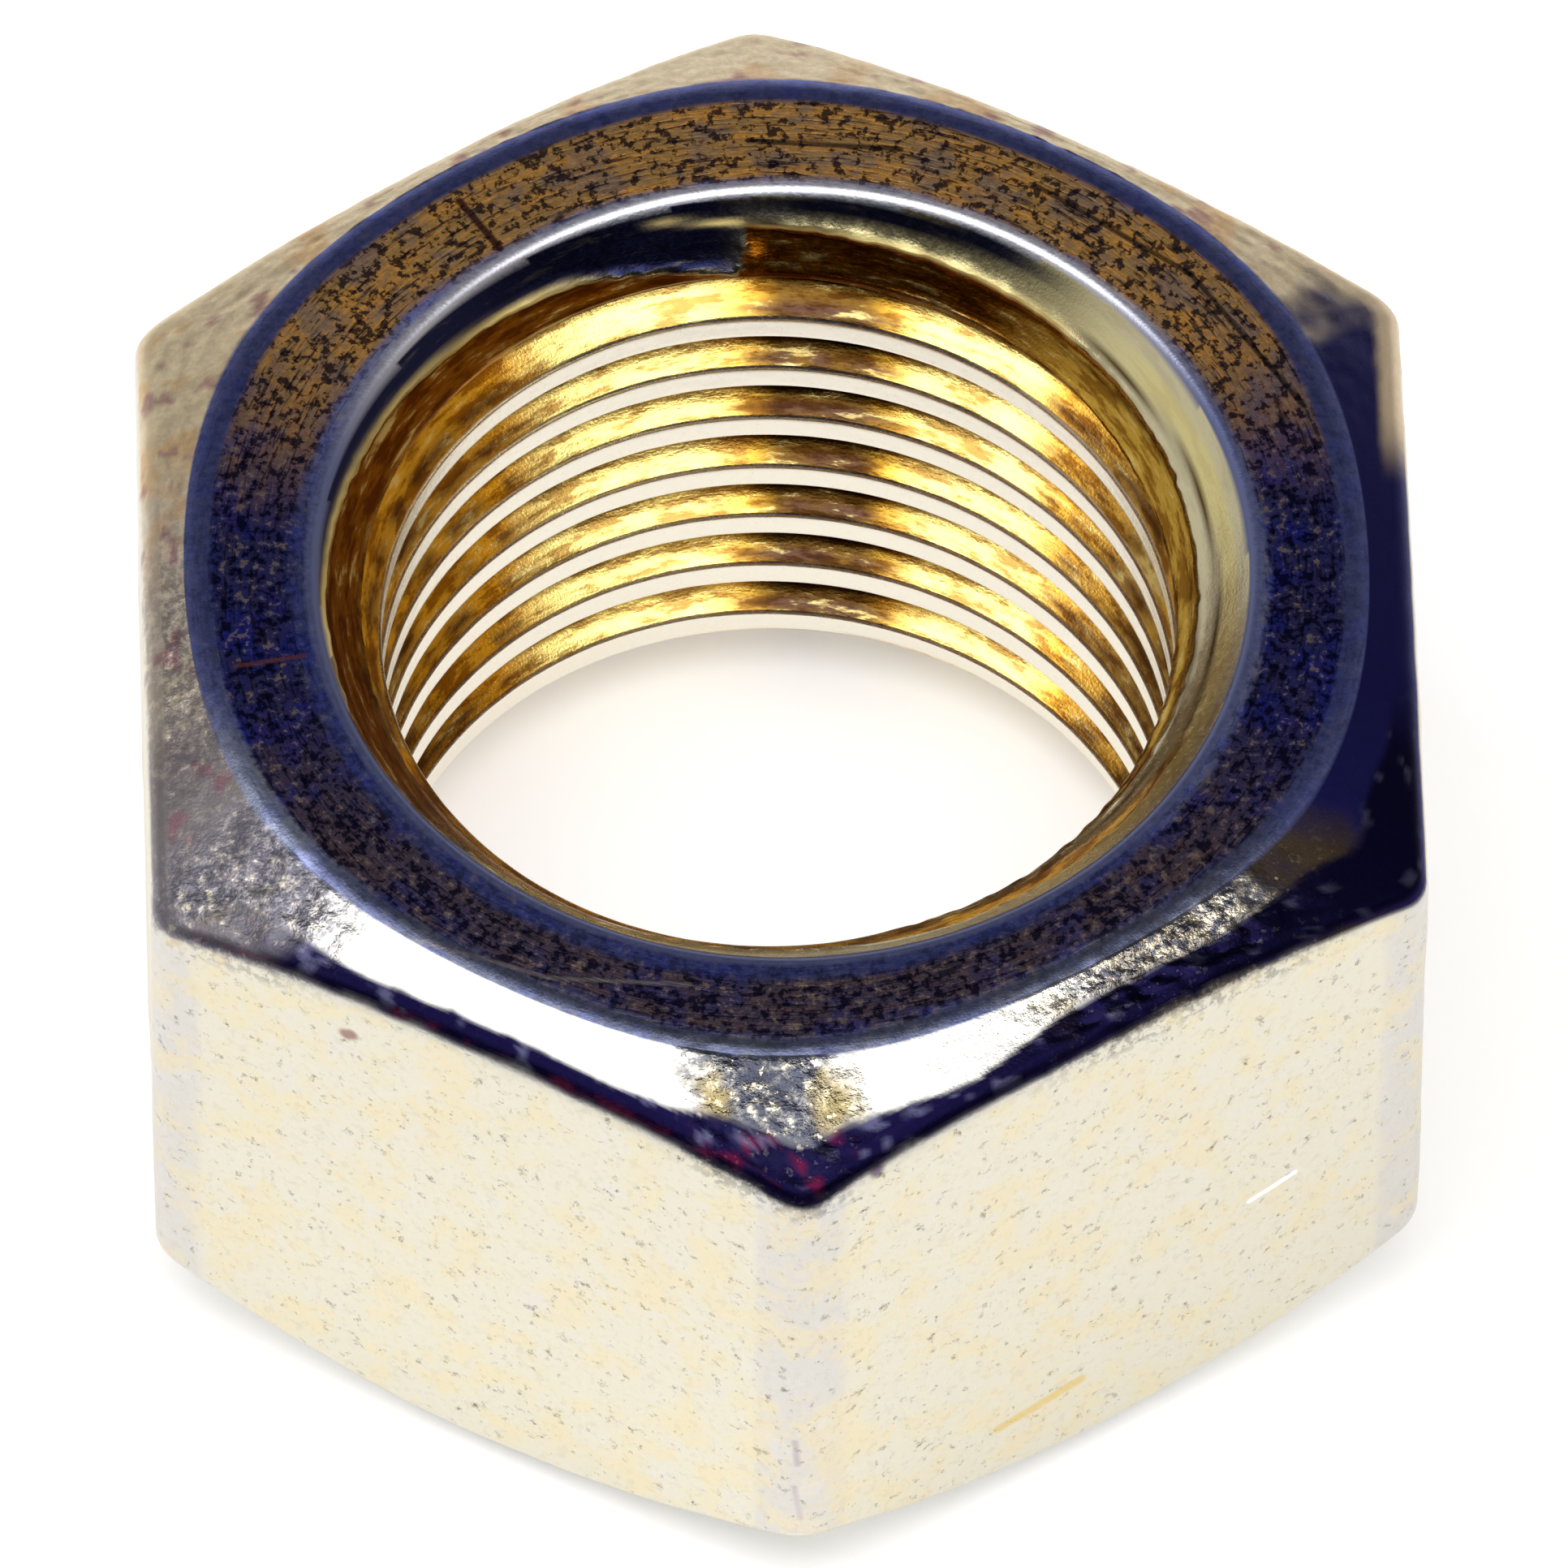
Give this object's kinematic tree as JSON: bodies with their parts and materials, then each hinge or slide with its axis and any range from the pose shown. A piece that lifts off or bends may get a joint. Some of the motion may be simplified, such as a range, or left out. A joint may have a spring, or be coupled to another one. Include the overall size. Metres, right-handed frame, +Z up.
{
  "type": "hex nut",
  "caption": "Hexagonal steel nut with a right-hand tapped through hole, countersunk at both ends, and chamfered corners on both faces.",
  "frame": {"origin": "on the thread axis, at the lower bearing face that the nut stands on", "axes": "+Z up along the thread axis; two of the six flats are square to X and two of the corners lie on Y"},
  "size_m": [0.0188, 0.0216, 0.0109],
  "materials": {
    "yellow_zinc_steel": "forged carbon steel, zinc plated with a yellow iridescent passivation"
  },
  "bodies": {
    "root": {"hex_nut": "yellow_zinc_steel"}
  },
  "joints": []
}
